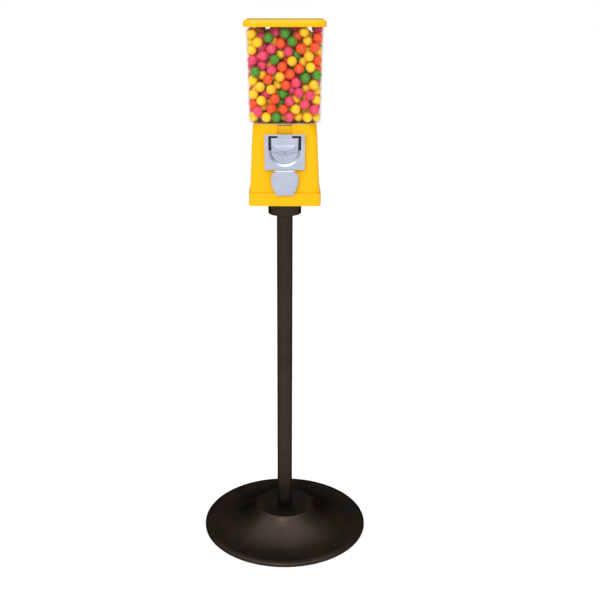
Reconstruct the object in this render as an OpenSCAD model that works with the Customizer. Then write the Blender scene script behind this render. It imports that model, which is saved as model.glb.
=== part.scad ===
// Square-globe gumball machine on a pedestal stand.
// +Z is up, the front faces -Y, and the origin is on the floor at the centre of the base.

/* [Stand] */
// Diameter of the cast base
base_d = 423; // [380:1:460]
// Height of the flat hub on the base
hub_h = 57.5; // [48:0.5:70]
// Diameter of the hub's flat top
hub_d = 154; // [120:1:180]
// Outer diameter of the pole
pole_d = 38.1; // [30:0.1:45]
// Height of the collar's underside above the floor
collar_z = 845; // [600:1:1000]
// Diameter of the collar under the head
collar_d = 78.8; // [70:0.1:90]

/* [Head] */
// Width of the tray that carries the body
tray_w = 166; // [160:1:176]
// Height of the tray
tray_h = 29.5; // [24:0.5:36]
// Width of the body where it meets the tray
body_w0 = 160; // [154:1:166]
// Width of the body under the globe
body_w1 = 146; // [142:1:152]
// Wall thickness of the castings
wall = 3; // [2.5:0.1:4]
// Width of the globe at its lower rounding
globe_w0 = 166; // [160:1:172]
// Width of the globe under the lid
globe_w1 = 175; // [170:1:180]
// Wall thickness of the globe
globe_wall = 2.6; // [2:0.1:3.5]
// Width of the lid
lid_w = 183; // [180:1:190]
// Height of the lid
lid_h = 14; // [12:0.5:18]

/* [Coin mechanism] */
// Width of the faceplate
plate_w = 91; // [88:1:94]
// Height of the faceplate
plate_h = 79.8; // [78:0.2:84]
// Radius of the round lower edge of the window
window_r = 36.8; // [34:0.1:38]
// Width of the coin groove
slot_w = 32.5; // [28:0.5:34]
// Radius of the handle shaft
shaft_r = 4.5; // [4:0.1:4.8]

/* [Dispenser] */
// Diameter of one gumball
ball_d = 22; // [20:0.5:23]
// Number of pockets in the wheel
pockets = 4; // [4]
// Distance from the centre rod to a pocket
pocket_ring = 34; // [34]
// Teeth on the handle's pinion
pinion_teeth = 10; // [10]
// Mean radius of the crown teeth
crown_r = 53; // [53]
// Radius of the centre rod
rod_r = 4.8; // [4:0.1:5]

/* [Hidden] */
$fn = 96;

yellow = [1.0, 0.76, 0.03];
bronze = [0.13, 0.11, 0.1];
silver = [0.78, 0.8, 0.85];
steel = [0.6, 0.61, 0.63];
zinc = [0.55, 0.56, 0.58];

// Heights
collar_h = 35;
head_z = collar_z + collar_h;
body_z = head_z + tray_h;
globe_z = head_z + 185;
lid_z = head_z + 394;
lid_top = lid_z + lid_h;
axis_z = head_z + 128;
plate_z = head_z + 83.5;

// Coin mechanism, measured along Y
plate_y = -84;
plate_t = 4;
frame_y = plate_y + plate_t;
frame_back = -66;
disc_r = 30.4;
grip_back = -85.6;
frame_half = 43;

// Flap
flap_y = -87;
flap_t = 2.5;
flap_pivot = [0, -85, head_z + 80.5];
flap_pin_r = 1.5;
ear_r = 2.4;
run_gap = 0.06;

// Dispenser
wheel_floor_z = axis_z + 5.5;
wheel_top_z = axis_z + 32;
wheel_r = 60.5;
well_r = 62;
drop_angle = -45;
drop_at = pocket_ring * [cos(drop_angle), sin(drop_angle)];
crown_teeth = pinion_teeth * pockets;
pinion_r = crown_r / pockets;
pitch_z = axis_z + pinion_r;
tooth_h = 2.2;
tooth_t = 3.3;
ball_r = ball_d / 2;

// Ratchet and pawl, in the plane of the handle's axis
ratchet_teeth = 20;
ratchet_tip_r = 16.4;
ratchet_root_r = 14;
pawl_angle = 20;
pawl_at = [7.6, 21.2];
// Turn that lifts the pawl from a gap between teeth to just clear of their tips
pawl_lift = 6.5;

// ---------------------------------------------------------------- helpers

// Square with rounded corners, in plan
module round_square(w, r) {
    square([w - 2 * r, w], center = true);
    square([w, w - 2 * r], center = true);
    for (x = [-1, 1], y = [-1, 1]) translate([x, y] * (w / 2 - r)) circle(r = r);
}

// Straight block with that outline, from height z
module slab(w, r, z, h) {
    translate([0, 0, z]) linear_extrude(h) round_square(w, r);
}

// Smooth tapered block through a list of [width, corner radius, height]
module tapered(sections) {
    hull() for (s = sections) slab(s[0], s[1], s[2], 0.01, $fn = 32);
}

// Cylinder along Y from y0 to y1 on the handle's axis, moved by at = [x, z]
module y_rod(r, y0, y1, at = [0, 0]) {
    translate([at[0], y1, axis_z + at[1]]) rotate([90, 0, 0]) cylinder(r = r, h = y1 - y0);
}

// Outline in X and Z, drawn about the handle's axis and extruded from y0 to y1
module y_plate(y0, y1, z = axis_z) {
    translate([0, y1, z]) rotate([90, 0, 0]) linear_extrude(y1 - y0) children();
}

// Box from its low corner to its high corner
module box(low, high) {
    translate(low) cube(high - low);
}

// Hexagon nut with its hole, from height z
module hex_nut(across, h, r, z) {
    translate([0, 0, z]) difference() {
        cylinder(d = across / cos(30), h = h, $fn = 6);
        translate([0, 0, -1]) cylinder(r = r, h = h + 2);
    }
}

// ---------------------------------------------------------------- stand

flare_r = 200;
flare_z = 10;
rim_z = 9;
rim_r = 5;
function flare(t) = [
    hub_d / 2 + (flare_r - hub_d / 2) * t,
    flare_z + (hub_h - 3 - flare_z) * pow(1 - t, 3.2)
];

module stand_base() {
    r = base_d / 2;
    shell = 6;
    color(bronze) rotate_extrude($fn = 160) difference() {
        polygon(concat(
            [[0, 14], [0, hub_h], [hub_d / 2 - 3, hub_h]],
            [for (i = [0:16]) flare(i / 16)],
            [for (a = [80:-16:0]) [r - rim_r + rim_r * cos(a), rim_z - rim_r + rim_r * sin(a)]],
            [[r, 0], [0, 0]]
        ));
        // Hollow underside
        polygon(concat(
            [[26, -1], [26, hub_h - shell - 2]],
            [for (i = [0:16]) flare(i / 16) - [4, shell]],
            [[r - 16, rim_z - shell], [r - 16, -1]]
        ));
        // Seat of the lower nut, hole of the tie rod and socket of the pole
        square([52.4, 12], center = true);
        square([26.5, 28], center = true);
        square([11, 200], center = true);
        translate([0, hub_h - 15]) square([pole_d / 2 + 0.1, 16]);
    }
}

module stand_pole() {
    color(bronze) translate([0, 0, hub_h - 15]) difference() {
        cylinder(d = pole_d, h = collar_z + 22 - hub_h + 15);
        translate([0, 0, -1]) cylinder(d = pole_d - 4, h = collar_z);
    }
}

module top_collar() {
    color(bronze) translate([0, 0, collar_z]) difference() {
        rotate_extrude() polygon([[0, 0], [collar_d / 2 - 1.5, 0], [collar_d / 2, 1.5],
            [collar_d / 2, collar_h], [0, collar_h]]);
        translate([0, 0, -1]) cylinder(d = pole_d + 0.2, h = 23);
        cylinder(r = 5.3, h = collar_h + 1);
        translate([0, 0, collar_h - 10]) cylinder(r = 11, h = 11);
        for (a = [30, 150, 270]) rotate(a) translate([29, 0, collar_h - 18]) cylinder(r = 3.1, h = 20);
    }
}

module tie_rod() {
    color(steel) translate([0, 0, 2]) cylinder(r = 5, h = head_z - 5);
}

module tie_nuts() {
    color(steel) for (z = [4, head_z - 10]) hex_nut(16, 8, 5.05, z);
}

module tie_washer() {
    color(steel) translate([0, 0, 12]) difference() {
        cylinder(r = 13, h = 2);
        translate([0, 0, -1]) cylinder(r = 5.3, h = 4);
    }
}

module collar_bolts() {
    color(steel) for (a = [30, 150, 270]) rotate(a) translate([29, 0, head_z]) {
        translate([0, 0, -15]) cylinder(r = 3, h = 19.2);
        translate([0, 0, 4]) cylinder(d = 11, h = 4, $fn = 6);
    }
}

// ---------------------------------------------------------------- body

module base_tray() {
    color(yellow) difference() {
        union() {
            difference() {
                slab(tray_w, 13, head_z, tray_h);
                slab(tray_w - 2 * wall - 1, 10, head_z + 4, tray_h);
            }
            translate([0, 0, head_z + 3]) cylinder(r = 13, h = 17);
        }
        translate([0, 0, head_z + 5]) cylinder(r = rod_r + 0.05, h = 20);
        for (a = [30, 150, 270]) rotate(a) translate([29, 0, head_z - 1]) cylinder(r = 3.3, h = 6);
    }
}

crease_z = head_z + 160.3;
body_top = globe_z - 1;
// The back of the coin groove stands just above the mechanism's frame
groove_back_z = axis_z + 33.4;
function body_half(z) = (body_w0 + (body_w1 - body_w0) * (z - body_z) / (body_top - body_z)) / 2;

module body_housing() {
    pad = [plate_w / 2 - 0.3, plate_z - 1, plate_z + plate_h - 0.3];
    color(yellow) difference() {
        union() {
            difference() {
                union() {
                    tapered([[body_w0, 13, body_z], [2 * body_half(crease_z), 14, crease_z]]);
                    tapered([[2 * body_half(crease_z) - 1.2, 14, crease_z - 1],
                        [body_w1 - 1.2, 26, body_top - 0.01]]);
                    box([-pad[0], frame_y, pad[1]], [pad[0], -70, pad[2]]);
                    // Ears that hold the flap's pin
                    for (s = [-1, 1]) translate([s * 23.4 - 1.5, 0, 0]) {
                        translate([0, flap_pivot[1], flap_pivot[2]]) rotate([0, 90, 0])
                            cylinder(r = ear_r, h = 3);
                        box([0, flap_pivot[1], flap_pivot[2] - ear_r], [3, -70, flap_pivot[2] + ear_r]);
                    }
                }
                tapered([[body_w0 - 2 * wall, 10, body_z - 0.1],
                    [2 * body_half(crease_z - 8) - 2 * wall, 12, crease_z - 8],
                    [body_w1 - 2 * wall, 23, body_top + 0.1]]);
            }
            // Ledge that carries the wheel housing, and the back of the coin groove
            difference() {
                slab(141, 22, body_top - 6, 3);
                slab(131, 18, body_top - 7, 5);
            }
            box([-19, -69, groove_back_z], [19, -66.4, body_top - 3]);
            box([-19, -71, groove_back_z], [-slot_w / 2, -66.4, body_top - 3]);
            box([slot_w / 2, -71, groove_back_z], [19, -66.4, body_top - 3]);
        }
        // Coin groove, window for the mechanism and mouth of the chute
        box([-slot_w / 2, -90, crease_z + 1.2], [slot_w / 2, -69, body_top + 1]);
        box([-frame_half - 0.3, -90, axis_z - 42], [frame_half + 0.3, -69.5, axis_z + 33.5]);
        box([-21.3, -90, head_z + 30.7], [21.3, -60, head_z + 73.3]);
        translate([-30, flap_pivot[1], flap_pivot[2]]) rotate([0, 90, 0])
            cylinder(r = flap_pin_r + 0.02, h = 60);
    }
}

module center_rod() {
    color(steel) translate([0, 0, head_z + 5.5]) cylinder(r = rod_r, h = lid_z - 4 - head_z - 5.5);
}

module rod_nut() {
    color(steel) hex_nut(16, 8, rod_r + 0.05, head_z + 20);
}

// ---------------------------------------------------------------- globe and lid

function globe_half(z) = (globe_w0 + (globe_w1 - globe_w0) * (z - globe_z - 9) / (lid_z - globe_z - 3)) / 2;

module globe_gasket() {
    color([0.85, 0.84, 0.8]) translate([0, 0, body_top]) difference() {
        linear_extrude(1) round_square(body_w1 - 2.6, 25);
        translate([0, 0, -1]) cylinder(r = well_r + 1.5, h = 3);
    }
}

module globe() {
    t = 2 * globe_wall;
    top = lid_z + 6;
    color([0.9, 0.95, 1, 0.3]) difference() {
        tapered([[globe_w0 - 18, 12, globe_z], [globe_w0 - 6, 15, globe_z + 2.5],
            [globe_w0, 17, globe_z + 9], [2 * globe_half(top), 18, top - 0.01]]);
        tapered([[globe_w0 - 12, 12, globe_z + 3], [globe_w0 - t, 14.4, globe_z + 9],
            [2 * globe_half(top) - t, 15.4, top + 0.1]]);
        translate([0, 0, globe_z - 1]) cylinder(r = well_r + 1, h = 6);
    }
}

module lid() {
    w = 2 * globe_half(lid_z + 6);
    color(yellow) difference() {
        union() {
            difference() {
                tapered([[lid_w - 2, 21, lid_z], [lid_w, 22, lid_z + 1.5], [lid_w - 0.6, 22, lid_z + 8],
                    [lid_w - 3, 20.5, lid_top - 2], [lid_w - 10, 17, lid_top - 0.01]]);
                // Room for the rim of the globe, and the hollow above it
                slab(w + 1.4, 18.5, lid_z - 1, 7);
                slab(w - 7, 15, lid_z + 5, 6);
            }
            translate([0, 0, lid_z + 2]) cylinder(r = 17, h = lid_h - 3);
        }
        translate([0, 0, lid_z + 6]) cylinder(r = 14, h = lid_h);
        translate([0, 0, lid_z]) cylinder(r = 9.7, h = lid_h);
    }
}

module lock_barrel() {
    color(silver) translate([0, 0, lid_z - 12]) difference() {
        union() {
            cylinder(r = 9.5, h = 21);
            translate([0, 0, 18]) cylinder(r = 13, h = 2.5);
        }
        translate([0, 0, -1]) cylinder(r = rod_r + 0.05, h = 10);
        translate([0, 0, 11]) cylinder(r = 6.05, h = 12);
    }
}

module lock_cylinder() {
    color(steel) translate([0, 0, lid_z - 0.8]) difference() {
        cylinder(r = 6, h = 9.8);
        box([-0.8, -3.5, 4], [0.8, 3.5, 12]);
    }
}

// ---------------------------------------------------------------- dispenser

module wheel_housing() {
    color(zinc) difference() {
        union() {
            difference() {
                slab(139, 22, body_top - 3, 3);
                translate([-20.5, -80, 0]) cube([41, 14, 2000]);
            }
            translate([0, 0, wheel_floor_z]) cylinder(r = well_r + 2, h = body_top - wheel_floor_z);
        }
        translate([0, 0, wheel_floor_z + 2]) cylinder(r = well_r, h = 100);
        translate([0, 0, wheel_floor_z - 1]) cylinder(r = rod_r + 0.3, h = 5);
        translate([drop_at[0], drop_at[1], wheel_floor_z - 1]) cylinder(r = 12.6, h = 5);
        // Window for the pinion
        box([-17, -60, wheel_floor_z - 1], [17, -43.5, wheel_floor_z + 3]);
    }
}

// One crown tooth, its flanks straight like a rack's
module crown_tooth() {
    slope = tan(20);
    translate([0, crown_r + 4, pitch_z]) rotate([90, 0, 0]) linear_extrude(8) polygon([
        [-tooth_t / 2 + tooth_h * slope, -tooth_h], [tooth_t / 2 - tooth_h * slope, -tooth_h],
        [tooth_t / 2 + 3.2 * slope, 3.2], [-tooth_t / 2 - 3.2 * slope, 3.2]]);
}

module dispensing_wheel() {
    rim_bottom = pitch_z + 2.8;
    color([0.82, 0.83, 0.84]) difference() {
        union() {
            translate([0, 0, rim_bottom]) cylinder(r = wheel_r, h = wheel_top_z - rim_bottom);
            translate([0, 0, wheel_floor_z + 2.6])
                cylinder(r = 47.5, h = wheel_top_z - wheel_floor_z - 2.6);
            // The wheel starts with a gap between two crown teeth over the shaft
            for (i = [0:crown_teeth - 1]) rotate((i + 0.5) * 360 / crown_teeth) crown_tooth();
        }
        for (i = [0:pockets - 1]) rotate(drop_angle + i * 360 / pockets)
            translate([pocket_ring, 0, 0]) cylinder(r = ball_r + 1.2, h = 2000);
        cylinder(r = rod_r + run_gap, h = 2000);
    }
}

module agitator() {
    color(zinc) translate([0, 0, wheel_top_z]) difference() {
        union() {
            cylinder(r = 10, h = 16);
            for (i = [0:3]) rotate(i * 90) translate([0, 2, 0]) rotate([90, 0, 0])
                linear_extrude(4) polygon([[5, 0], [19, 0], [19, 3], [9, 14], [5, 14]]);
        }
        translate([0, 0, -1]) cylinder(r = rod_r + run_gap, h = 20);
    }
}

module ball_guard() {
    color(zinc) rotate(drop_angle) translate([0, 0, wheel_top_z + 1]) difference() {
        union() {
            translate([pocket_ring, 0, 0]) cylinder(r = 13.3, h = 2);
            box([pocket_ring, -7, 0], [61.3, 7, 2]);
            box([59.5, -7, 0], [61.3, 7, 14]);
        }
        translate([55, 0, 9]) rotate([0, 90, 0]) cylinder(r = 1.7, h = 10);
    }
}

module guard_screw() {
    color(steel) rotate(drop_angle) translate([59.5, 0, wheel_top_z + 10]) rotate([0, 90, 0]) {
        cylinder(r = 1.6, h = 2);
        translate([0, 0, -1.6]) cylinder(r = 3, h = 1.6);
    }
}

module chute() {
    turn = [drop_at[0], drop_at[1], head_z + 88];
    mouth = [0, -64, head_z + 52];
    module run(r) {
        hull() {
            translate(turn) sphere(r = r, $fn = 32);
            translate(mouth) sphere(r = r, $fn = 32);
        }
    }
    color(zinc) difference() {
        union() {
            translate(turn) cylinder(r = 14.4, h = wheel_floor_z - turn[2]);
            run(14.4);
            box([-20.8, -84.2, head_z + 31.2], [20.8, -62, head_z + 72.8]);
        }
        translate(turn) cylinder(r = 12.6, h = 100);
        run(12.6);
        box([-18.8, -90, head_z + 33.2], [18.8, -64, head_z + 70.8]);
    }
}

// Outline of the flap in X and Z, about its pivot's height, shrunk by m
module flap_outline(m) {
    half = [[21.3, 2.3], [21.3, -3.2], [25.8, -3.2], [30.7, -9.1], [30.7, -28.8], [19.9, -55]];
    offset(delta = -m) polygon(concat(half, [for (i = [5:-1:0]) [-half[i][0], half[i][1]]]));
}

module chute_flap() {
    z = flap_pivot[2];
    color(silver) difference() {
        union() {
            y_plate(flap_y, flap_y + flap_t, z) flap_outline(0);
            // Raised panel, with a crease across its lower part
            difference() {
                y_plate(flap_y - 1.3, flap_y + 1, z) flap_outline(5);
                box([-40, flap_y - 2, z - 36], [40, flap_y - 0.5, z - 35]);
            }
            translate([-21, flap_pivot[1], z]) rotate([0, 90, 0]) cylinder(r = 2.5, h = 42);
        }
        translate([-30, flap_pivot[1], z]) rotate([0, 90, 0]) cylinder(r = flap_pin_r + run_gap, h = 60);
    }
}

module flap_pin() {
    color(steel) translate([-25.5, flap_pivot[1], flap_pivot[2]]) rotate([0, 90, 0])
        cylinder(r = flap_pin_r, h = 51);
}

// ---------------------------------------------------------------- coin mechanism

screw_at = [for (x = [-1, 1], z = [-1, 1]) [x * 40, z < 0 ? -37 : 27]];

module mech_faceplate() {
    top = axis_z + window_r - 4.8;
    low = plate_z;
    high = plate_z + plate_h;
    half = plate_w / 2;
    color(silver) difference() {
        union() {
            box([-half, plate_y, low], [half, frame_y, high]);
            box([-half, plate_y - 0.6, axis_z + 1], [half, frame_y, high]);
        }
        box([-window_r, -90, axis_z], [window_r, -70, top]);
        y_rod(disc_r + 0.6, -90, -70);
        // Bevelled rim round the lower half of the window
        intersection() {
            translate([0, plate_y + 3, axis_z]) rotate([90, 0, 0])
                cylinder(r1 = disc_r + 0.6, r2 = window_r + 1, h = 3.5);
            box([-50, -90, low - 1], [50, -70, axis_z]);
        }
        for (p = screw_at) y_rod(1.65, plate_y + 1.2, -70, p);
    }
    // Lip that guides the coin behind the plate
    color(silver) box([-slot_w / 2, plate_y - 1.1, top - 5], [slot_w / 2, plate_y + 0.4, high]);
}

module mech_frame() {
    color([0.05, 0.05, 0.055]) difference() {
        union() {
            box([-frame_half, frame_y + 0.1, axis_z - 41.5], [frame_half, frame_back, axis_z + 33]);
            box([-50, -70.8, axis_z - 46], [50, -68.8, axis_z + 26]);
        }
        y_rod(shaft_r + run_gap, -90, -60);
        y_rod(disc_r + 0.6, -90, -74.2);
        // Coin's way in at the top and out at the bottom
        box([-13.2, -79.4, axis_z + 20], [13.2, -75, axis_z + 40]);
        box([-13.2, -79.4, axis_z - 50], [13.2, -75, axis_z - 20]);
        // Chamber of the ratchet and its pawl
        box([-22, -71, axis_z - 20], [22, -60, axis_z + 27]);
        y_rod(1.52, -73, -70, pawl_at);
        for (p = screw_at) y_rod(1.65, -90, -60, p);
    }
}

module mech_screws() {
    color(steel) for (p = screw_at) {
        y_rod(1.6, plate_y + 1.5, frame_back + 0.1, p);
        y_rod(3, frame_back, frame_back + 2.4, p);
    }
}

// Outline of the grip about the handle's axis: square above, a shallow lobe below
function grip_edge(x) = -2.5 - 5.5 * pow(cos(90 * x / 30), 2);
module grip_outline(m) {
    offset(r = 2.5, $fn = 24) offset(delta = -2.5 - m) polygon(concat(
        [[-31.8, 28], [31.8, 28]], [for (x = [30:-3:-30]) [x, grip_edge(x)]]));
}

// The lower part of that outline, which stands proud as a ridge
module grip_low(m) {
    intersection() {
        grip_outline(m);
        translate([-40, -20]) square([80, 38 - m]);
    }
}

module handle() {
    color(silver) difference() {
        union() {
            y_rod(disc_r, -83.2, -80.2);
            intersection() {
                y_rod(26, grip_back - 1, -82.5);
                translate([0, 0, axis_z]) box([-26, grip_back - 1, -2], [26, -82.5, 26]);
            }
            hull() {
                y_plate(-88.6, grip_back) grip_outline(0);
                y_plate(-92, -91.6) grip_outline(2);
            }
            // Ridge that the fingers turn
            hull() {
                y_plate(-90.6, -90) grip_low(4);
                y_plate(-97, -96.6) grip_low(8);
            }
        }
        y_rod(shaft_r + 0.05, -92, -70);
    }
}

module handle_shaft() {
    color(steel) y_rod(shaft_r, -91.5, -46);
}

module coin_carrier() {
    color([0.72, 0.6, 0.3]) difference() {
        y_rod(disc_r, -79.6, -74.6);
        y_rod(12.6, -80, -74, [0, 17.6]);
        box([-12.6, -80, axis_z + 17.6], [12.6, -74, axis_z + 40]);
        y_rod(shaft_r + 0.05, -90, -60);
    }
}

module ratchet_wheel() {
    step = 360 / ratchet_teeth;
    color(steel) difference() {
        y_plate(-70.6, -67.4) polygon([for (i = [0:ratchet_teeth - 1]) each [
            ratchet_root_r * [cos(pawl_angle + i * step), sin(pawl_angle + i * step)],
            ratchet_tip_r * [cos(pawl_angle + (i + 0.9) * step), sin(pawl_angle + (i + 0.9) * step)]]]);
        y_rod(shaft_r + 0.05, -90, -60);
    }
}

module drive_pinion() {
    step = 360 / pinion_teeth;
    color([0.72, 0.6, 0.3]) difference() {
        union() {
            y_rod(pinion_r - tooth_h - 0.5, -58, -48.6);
            for (i = [0:pinion_teeth - 1]) y_plate(-58, -50) rotate(90 + i * step) polygon([
                [pinion_r - tooth_h - 1.5, -2.3], [pinion_r - tooth_h - 1.5, 2.3],
                [pinion_r, tooth_t / 2], [pinion_r + tooth_h, 0.75],
                [pinion_r + tooth_h, -0.75], [pinion_r, -tooth_t / 2]]);
        }
        y_rod(shaft_r + 0.05, -90, -40);
    }
}

module shaft_clip() {
    color(steel) difference() {
        y_rod(7, -48.4, -47.2);
        y_rod(shaft_r + 0.02, -50, -40);
        box([-1.6, -50, axis_z - 10], [1.6, -40, axis_z]);
    }
}

module pawl() {
    function at(r, a) = r * [cos(pawl_angle + a), sin(pawl_angle + a)];
    outward = pawl_at / norm(pawl_at);
    color(steel) difference() {
        union() {
            y_plate(-70.4, -67.6) translate(pawl_at) rotate(pawl_lift) translate(-pawl_at)
                polygon([at(14.9, 1.2), at(14.9, 2.6), at(17.6, 7),
                    pawl_at - 2.6 * outward, pawl_at + 2.6 * outward, at(19.2, 1)]);
            y_rod(3.2, -70.4, -67.6, pawl_at);
        }
        y_rod(1.5 + run_gap, -80, -60, pawl_at);
    }
}

module pawl_pin() {
    color(steel) {
        y_rod(1.5, -72.8, -65, pawl_at);
        y_rod(2.8, -65, -64.2, pawl_at);
    }
}

module pawl_spring() {
    color([0.75, 0.75, 0.78]) {
        for (i = [0:2]) translate([pawl_at[0], -67 + i * 0.75, axis_z + pawl_at[1]]) rotate([90, 0, 0])
            rotate_extrude() translate([2.4, 0]) circle(r = 0.38, $fn = 16);
        translate([pawl_at[0] + 2.4, -67, axis_z + pawl_at[1]]) cylinder(r = 0.35, h = 5, $fn = 16);
    }
}

// ---------------------------------------------------------------- gumballs

// The pile is filled one ball at a time. Each ball drops straight down at the place, out of a
// slightly uneven grid of places, where it comes to rest lowest. Places by the wall count as
// a little lower, so that balls lie against the globe.
fill_span = globe_half(globe_z + 9) - globe_wall - ball_r - 0.4;
fill_top = lid_z + 5.3;
fill_steps = 46;
ball_gap = 0.45;
corner = 3;
function jitter(i) = i == 0 || i == fill_steps ? 0 : rands(-1.2, 1.2, 1, i * 31 + 7)[0];
function in_globe(p) = let (
        a = max(0, abs(p[0]) - fill_span + corner),
        b = max(0, abs(p[1]) - fill_span + corner)
    ) a * a + b * b <= corner * corner + 0.1 && norm(p) > 21.4;
function floor_height(p) = norm(p) < 31 ? wheel_top_z + 28
    : norm(p) < well_r - ball_r - 4.4 ? wheel_top_z + 15
    : globe_z + 3.5 + ball_r;
function drop(p, b, h) = let (gap = pow(ball_d + ball_gap, 2) - pow(p[0] - b[0], 2) - pow(p[1] - b[1], 2))
    gap <= 0 ? h : max(h, b[2] + sqrt(gap));
function fill(places, bias, heights, balls = []) = let (
        rank = heights + bias,
        k = search(min(rank), rank)[0],
        ball = [places[k][0], places[k][1], heights[k]]
    ) ball[2] > fill_top - ball_r ? balls
    : fill(places, bias, [for (j = [0:len(places) - 1]) drop(places[j], ball, heights[j])],
        concat(balls, [ball]));
// The globe widens upwards, and the pile widens with it
function spread(b) = let (
        s = max(1, (globe_half(b[2]) - globe_wall - ball_r - 0.4) / fill_span)
    ) [b[0] * s, b[1] * s, b[2]];

module pile(low, high) {
    places = [for (i = [0:fill_steps], j = [0:fill_steps]) let (
        p = fill_span * [2 * i / fill_steps - 1, 2 * j / fill_steps - 1] + [jitter(i), jitter(j)]
    ) if (in_globe(p)) p];
    bias = [for (p = places) rands(0, 1, 1, p[0] * p[1])[0]
        - (max(abs(p[0]), abs(p[1])) > fill_span - 0.5 ? 2.5 : 0)];
    balls = fill(places, bias, [for (p = places) floor_height(p)]);
    flavour = rands(0, 1, len(balls), 12);
    for (i = [0:len(balls) - 1]) if (flavour[i] >= low && flavour[i] < high)
        translate(spread(balls[i])) sphere(r = ball_r, $fn = 72);
}

module gumballs_yellow() { color([1.0, 0.79, 0.05]) pile(0, 0.36); }
module gumballs_pink() { color([0.88, 0.28, 0.4]) pile(0.36, 0.6); }
module gumballs_orange() { color([0.98, 0.33, 0.08]) pile(0.6, 0.83); }
module gumballs_green() { color([0.24, 0.55, 0.06]) pile(0.83, 1); }

module wheel_gumballs() {
    color([0.88, 0.28, 0.4]) for (i = [1:pockets - 1]) rotate(drop_angle + i * 360 / pockets)
        translate([pocket_ring, 0, wheel_floor_z + 2.3 + ball_r]) sphere(r = ball_r);
}

// ---------------------------------------------------------------- assembly

stand_base();
stand_pole();
top_collar();
tie_rod();
tie_nuts();
tie_washer();
collar_bolts();
base_tray();
body_housing();
center_rod();
rod_nut();
globe_gasket();
globe();
wheel_housing();
dispensing_wheel();
agitator();
ball_guard();
guard_screw();
chute();
chute_flap();
flap_pin();
mech_faceplate();
mech_frame();
mech_screws();
handle();
handle_shaft();
coin_carrier();
ratchet_wheel();
drive_pinion();
shaft_clip();
pawl();
pawl_pin();
pawl_spring();
lid();
lock_barrel();
lock_cylinder();
gumballs_yellow();
gumballs_pink();
gumballs_orange();
gumballs_green();
wheel_gumballs();
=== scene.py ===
"""A square-globe gumball machine on its stand: materials, light and camera round the CAD frame."""
import math

import bpy
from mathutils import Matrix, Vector

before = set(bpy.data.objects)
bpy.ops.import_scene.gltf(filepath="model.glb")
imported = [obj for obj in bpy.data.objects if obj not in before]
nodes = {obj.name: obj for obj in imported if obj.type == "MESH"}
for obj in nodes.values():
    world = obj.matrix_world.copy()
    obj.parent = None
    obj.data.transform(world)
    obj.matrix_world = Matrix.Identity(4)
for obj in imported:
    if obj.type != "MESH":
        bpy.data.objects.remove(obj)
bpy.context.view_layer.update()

# Camera: its place in metres, its tilt in degrees, and the sideways shift of the framing
CAMERA_AT = (0.0, -2.133, 1.344)
CAMERA_TILT = 18.63
LENS = 54.7
SIDE_SHIFT = 0.0254

# Strength of the even light from all round
WORLD_LIGHT = 0.26

# Broad light from above the front: its strength, its width, its tilt and its turn, in degrees
SKY_LIGHT = 2.85
SKY_WIDTH = 100
SKY_TILT = 17
SKY_TURN = -14

# Lamp above the front, which gives the highlights: place, size and target in metres, power in watts
KEY_AT = (-0.5, -2.5, 2.5)
KEY_SIZE = (1.0, 0.5)
KEY_TARGET = (0, 0, 0.9)
KEY_POWER = 30
KEY_COLOUR = (1, 0.96, 0.91)

# Floor: its side and how far its middle lies behind the machine, in metres
FLOOR_SIDE = 160
FLOOR_BACK = 30


# ------------------------------------------------------------------ node helpers

def linear(red, green, blue):
    """A colour given as 0 to 255 on a screen, as the linear values that shaders take."""
    return tuple(
        (c / 12.92 if c <= 0.04045 else ((c + 0.055) / 1.055) ** 2.4)
        for c in (red / 255, green / 255, blue / 255)
    ) + (1.0,)


class Shader:
    """A material with one Principled shader, and short calls that add nodes to it."""

    def __init__(self, name, **values):
        self.material = bpy.data.materials.new(name)
        self.material.use_nodes = True
        self.tree = self.material.node_tree
        self.surface = self.tree.nodes["Principled BSDF"]
        for key, value in values.items():
            self.surface.inputs[key.replace("_", " ")].default_value = value
        self.place = self.tree.nodes.new("ShaderNodeTexCoord").outputs["Object"]

    def link(self, source, socket):
        self.tree.links.new(source, socket)

    def noise(self, scale, detail=3.0, stretch=(1, 1, 1), roughness=0.55):
        mapping = self.tree.nodes.new("ShaderNodeMapping")
        mapping.inputs["Scale"].default_value = stretch
        self.link(self.place, mapping.inputs["Vector"])
        node = self.tree.nodes.new("ShaderNodeTexNoise")
        node.inputs["Scale"].default_value = scale
        node.inputs["Detail"].default_value = detail
        node.inputs["Roughness"].default_value = roughness
        self.link(mapping.outputs[0], node.inputs["Vector"])
        return node.outputs["Fac"]

    def ramp(self, source, low, high, start=0.35, end=0.65):
        """Blends from colour low to colour high as source goes from start to end."""
        node = self.tree.nodes.new("ShaderNodeValToRGB")
        node.color_ramp.elements[0].position = start
        node.color_ramp.elements[1].position = end
        node.color_ramp.elements[0].color = low
        node.color_ramp.elements[1].color = high
        self.link(source, node.inputs[0])
        return node.outputs[0]

    def spread(self, source, low, high, start=0.3, end=0.7):
        """A number from low to high as source goes from start to end."""
        node = self.tree.nodes.new("ShaderNodeMapRange")
        for key, value in (("From Min", start), ("From Max", end), ("To Min", low), ("To Max", high)):
            node.inputs[key].default_value = value
        self.link(source, node.inputs["Value"])
        return node.outputs[0]

    def colour(self, source):
        self.link(source, self.surface.inputs["Base Color"])

    def roughness(self, source):
        self.link(source, self.surface.inputs["Roughness"])

    def bump(self, source, strength, distance, soft_edge=0.0):
        """Bumps the surface by source. soft_edge rounds sharp edges by that radius in metres."""
        node = self.tree.nodes.new("ShaderNodeBump")
        node.inputs["Strength"].default_value = strength
        node.inputs["Distance"].default_value = distance
        self.link(source, node.inputs["Height"])
        if soft_edge:
            bevel = self.tree.nodes.new("ShaderNodeBevel")
            bevel.samples = 4
            bevel.inputs["Radius"].default_value = soft_edge
            self.link(bevel.outputs[0], node.inputs["Normal"])
        self.link(node.outputs[0], self.surface.inputs["Normal"])


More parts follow.
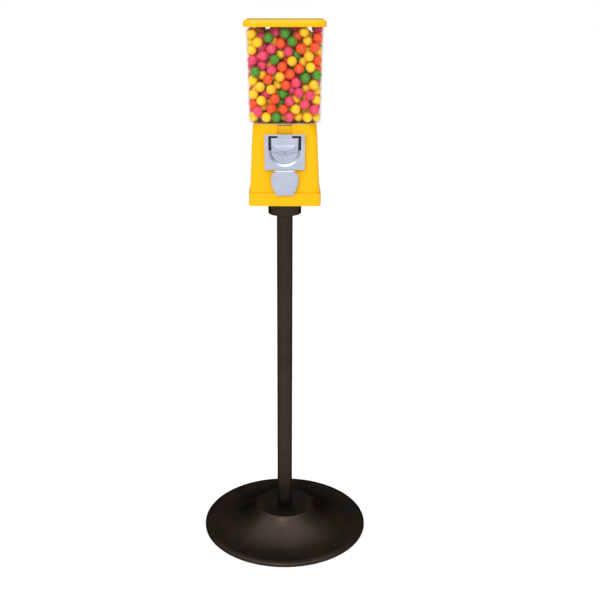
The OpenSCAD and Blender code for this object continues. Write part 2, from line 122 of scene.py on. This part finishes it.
def shades(colour, factor):
    """A darker or lighter shade of a linear colour."""
    return tuple(c * factor for c in colour[:3]) + (1.0,)


# ------------------------------------------------------------------ materials

def yellow_enamel():
    """Thick gloss enamel over a casting, with a faint orange peel."""
    tone = linear(240, 182, 1)
    s = Shader("yellow_enamel", Coat_Weight=0.12, Coat_Roughness=0.08, Specular_IOR_Level=0.12)
    s.colour(s.ramp(s.noise(9, 4), shades(tone, 0.93), tone))
    s.roughness(s.spread(s.noise(40, 5), 0.24, 0.36))
    s.bump(s.noise(420, 2), 0.12, 0.0004, soft_edge=0.0016)
    return s.material


def bronze_enamel(name, grain, grain_depth):
    """Satin bronze-black finish, deep-grained on castings. A dark edge tint keeps the rims dark."""
    tone = linear(58, 50, 44)
    s = Shader(name, Metallic=1.0, Specular_Tint=linear(150, 138, 130))
    s.colour(s.ramp(s.noise(14, 6), shades(tone, 0.85), shades(tone, 1.1)))
    s.roughness(s.spread(s.noise(60, 5), 0.36, 0.46))
    s.bump(s.noise(grain, 4), 0.3, grain_depth, soft_edge=0.0015)
    return s.material


def satin_chrome():
    """Satin plate on die castings, with a fine drawn grain and faint handling marks."""
    tone = linear(194, 201, 219)
    s = Shader("satin_chrome", Metallic=1.0)
    s.colour(s.ramp(s.noise(30, 4), shades(tone, 0.86), tone))
    grain = s.noise(260, 4, stretch=(0.15, 1, 3.5))
    s.roughness(s.spread(grain, 0.38, 0.5))
    s.bump(grain, 0.12, 0.0002, soft_edge=0.0009)
    return s.material


def plated_steel():
    """Zinc-plated steel for rods and fasteners, streaked along its length."""
    tone = linear(176, 178, 182)
    s = Shader("plated_steel", Metallic=1.0)
    s.colour(s.ramp(s.noise(120, 5), shades(tone, 0.75), tone))
    s.roughness(s.spread(s.noise(300, 3, stretch=(1, 1, 0.2)), 0.25, 0.45))
    s.bump(s.noise(500, 3), 0.15, 0.0002, soft_edge=0.0004)
    return s.material


def raw_zinc():
    """Bare die-cast alloy, dull and finely grained."""
    tone = linear(165, 167, 170)
    s = Shader("raw_zinc", Metallic=0.9)
    s.colour(s.ramp(s.noise(45, 6), shades(tone, 0.7), tone))
    s.roughness(s.spread(s.noise(160, 4), 0.42, 0.62))
    s.bump(s.noise(600, 4), 0.3, 0.0003, soft_edge=0.0006)
    return s.material


def black_casting():
    """Matte black paint inside the coin mechanism."""
    s = Shader("black_casting", IOR=1.45)
    s.colour(s.ramp(s.noise(80, 5), linear(13, 13, 15), linear(30, 30, 33)))
    s.roughness(s.spread(s.noise(200, 4), 0.5, 0.7))
    s.bump(s.noise(700, 3), 0.3, 0.0002, soft_edge=0.0005)
    return s.material


def machined_brass():
    """Brass wheels of the coin mechanism, turned and slightly tarnished."""
    tone = linear(205, 170, 95)
    s = Shader("machined_brass", Metallic=1.0)
    s.colour(s.ramp(s.noise(60, 6), shades(tone, 0.62), tone))
    s.roughness(s.spread(s.noise(220, 4), 0.22, 0.42))
    s.bump(s.noise(500, 2, stretch=(1, 0.1, 1)), 0.2, 0.0002, soft_edge=0.0004)
    return s.material


def white_plastic():
    """Moulded wheel of the dispenser."""
    tone = linear(226, 226, 222)
    s = Shader("white_plastic", IOR=1.5)
    s.colour(s.ramp(s.noise(25, 4), shades(tone, 0.88), tone))
    s.roughness(s.spread(s.noise(140, 4), 0.3, 0.45))
    s.bump(s.noise(450, 2), 0.12, 0.0002, soft_edge=0.0006)
    return s.material


def pale_rubber():
    """Pale sheet rubber of the seal under the globe."""
    s = Shader("pale_rubber", IOR=1.5)
    s.colour(s.ramp(s.noise(70, 5), linear(214, 212, 204), linear(232, 230, 224)))
    s.roughness(s.spread(s.noise(260, 4), 0.62, 0.8))
    s.bump(s.noise(900, 3), 0.3, 0.0002)
    return s.material


def clear_plastic():
    """Clear moulded wall: what is behind it shows unbent, under a reflection that grows at the edges."""
    s = Shader("clear_plastic")
    tree_nodes = s.tree.nodes
    clear = tree_nodes.new("ShaderNodeBsdfTransparent")
    clear.inputs["Color"].default_value = (0.985, 0.985, 0.985, 1)
    shine = tree_nodes.new("ShaderNodeBsdfGlossy")
    shine.inputs["Color"].default_value = (1, 1, 1, 1)
    s.link(s.spread(s.noise(70, 4), 0.02, 0.06), shine.inputs["Roughness"])
    facing = tree_nodes.new("ShaderNodeLayerWeight").outputs["Facing"]
    mix = tree_nodes.new("ShaderNodeMixShader")
    s.link(s.spread(facing, 0.01, 0.6, 0.25, 1), mix.inputs[0])
    s.link(clear.outputs[0], mix.inputs[1])
    s.link(shine.outputs[0], mix.inputs[2])
    s.link(mix.outputs[0], tree_nodes["Material Output"].inputs["Surface"])
    tree_nodes.remove(s.surface)
    return s.material


def candy(name, tone):
    """A glossy sugar shell. Each ball has its own slight shade, with faint mottling."""
    s = Shader(name, Coat_Weight=0.8, Coat_Roughness=0.1, Specular_IOR_Level=0.05)
    s.surface.inputs["Subsurface Weight"].default_value = 0.08
    s.surface.inputs["Subsurface Radius"].default_value = (0.004, 0.002, 0.001)
    island = s.tree.nodes.new("ShaderNodeNewGeometry").outputs["Random Per Island"]
    own = s.ramp(island, shades(tone, 0.94), shades(tone, 1.1), 0, 1)
    mottle = s.ramp(s.noise(160, 4), (0.94, 0.94, 0.94, 1), (1, 1, 1, 1))
    mix = s.tree.nodes.new("ShaderNodeMix")
    mix.data_type = "RGBA"
    mix.blend_type = "MULTIPLY"
    mix.inputs[0].default_value = 1.0
    s.link(own, mix.inputs[6])
    s.link(mottle, mix.inputs[7])
    s.colour(mix.outputs[2])
    s.roughness(s.spread(s.noise(220, 3), 0.2, 0.34))
    s.bump(s.noise(240, 3), 0.12, 0.0004)
    return s.material


yellow = yellow_enamel()
cast_bronze = bronze_enamel("cast_bronze", 330, 0.0006)
tube_bronze = bronze_enamel("tube_bronze", 700, 0.0002)
chrome = satin_chrome()
steel = plated_steel()
zinc = raw_zinc()
brass = machined_brass()
pink_candy = candy("candy_pink", linear(236, 66, 106))

FINISHES = {
    yellow: ["base_tray", "body_housing", "lid"],
    cast_bronze: ["stand_base", "top_collar"],
    tube_bronze: ["stand_pole"],
    chrome: ["mech_faceplate", "handle", "chute_flap", "lock_barrel"],
    steel: ["tie_rod", "tie_nuts", "tie_washer", "collar_bolts", "center_rod", "rod_nut", "guard_screw",
            "flap_pin", "mech_screws", "handle_shaft", "ratchet_wheel", "shaft_clip", "pawl", "pawl_pin",
            "pawl_spring", "lock_cylinder"],
    zinc: ["wheel_housing", "agitator", "ball_guard", "chute"],
    brass: ["coin_carrier", "drive_pinion"],
    black_casting(): ["mech_frame"],
    white_plastic(): ["dispensing_wheel"],
    pale_rubber(): ["globe_gasket"],
    clear_plastic(): ["globe"],
    candy("candy_yellow", linear(255, 208, 3)): ["gumballs_yellow"],
    pink_candy: ["gumballs_pink", "wheel_gumballs"],
    candy("candy_orange", linear(255, 80, 8)): ["gumballs_orange"],
    candy("candy_green", linear(66, 150, 12)): ["gumballs_green"],
}
for material, names in FINISHES.items():
    for name in names:
        for slot in nodes[name].material_slots:
            slot.material = material


# ------------------------------------------------------------------ stage, light and camera

def floor():
    """A pale floor that runs past the horizon."""
    bpy.ops.mesh.primitive_plane_add(size=FLOOR_SIDE, location=(0, FLOOR_BACK, 0))
    plane = bpy.context.object
    plane.name = "floor"
    s = Shader("pale_floor", Roughness=0.9)
    s.surface.inputs["Specular IOR Level"].default_value = 0.1
    s.colour(s.ramp(s.noise(0.6, 2), (0.93, 0.93, 0.93, 1), (0.95, 0.95, 0.95, 1)))
    plane.data.materials.append(s.material)


def area_light(name, place, target, size, power, colour):
    """A rectangular lamp turned towards its target."""
    data = bpy.data.lights.new(name, "AREA")
    data.shape = "RECTANGLE"
    data.size, data.size_y = size
    data.energy = power
    data.color = colour
    lamp = bpy.data.objects.new(name, data)
    lamp.location = place
    lamp.rotation_euler = (Vector(target) - Vector(place)).to_track_quat("-Z", "Y").to_euler()
    bpy.context.scene.collection.objects.link(lamp)


def light():
    """Even light from all round, a broad light from above and one lamp for the highlights."""
    world = bpy.data.worlds.new("studio")
    world.use_nodes = True
    background = world.node_tree.nodes["Background"]
    background.inputs["Color"].default_value = (1, 1, 1, 1)
    background.inputs["Strength"].default_value = WORLD_LIGHT
    # What the view sees past the floor is as pale as the floor, and gives no extra light
    links = world.node_tree.links
    backdrop = world.node_tree.nodes.new("ShaderNodeBackground")
    backdrop.inputs["Color"].default_value = (1, 1, 1, 1)
    seen = world.node_tree.nodes.new("ShaderNodeLightPath").outputs["Is Camera Ray"]
    mix = world.node_tree.nodes.new("ShaderNodeMixShader")
    links.new(seen, mix.inputs[0])
    links.new(background.outputs[0], mix.inputs[1])
    links.new(backdrop.outputs[0], mix.inputs[2])
    links.new(mix.outputs[0], world.node_tree.nodes["World Output"].inputs["Surface"])
    bpy.context.scene.world = world
    sun = bpy.data.lights.new("sky_panel", "SUN")
    sun.energy = SKY_LIGHT
    sun.angle = math.radians(SKY_WIDTH)
    lamp = bpy.data.objects.new("sky_panel", sun)
    lamp.rotation_euler = (math.radians(SKY_TILT), 0, math.radians(SKY_TURN))
    bpy.context.scene.collection.objects.link(lamp)
    area_light("key", KEY_AT, KEY_TARGET, KEY_SIZE, KEY_POWER, KEY_COLOUR)


def camera():
    """The camera in front, a little above the globe and looking down."""
    data = bpy.data.cameras.new("camera")
    data.lens = LENS
    data.sensor_width = 36
    data.shift_x = SIDE_SHIFT
    view = bpy.data.objects.new("camera", data)
    view.location = CAMERA_AT
    view.rotation_euler = (math.radians(90 - CAMERA_TILT), 0, 0)
    bpy.context.scene.collection.objects.link(view)
    bpy.context.scene.camera = view


floor()
light()
camera()
bpy.context.scene.view_settings.view_transform = "Standard"
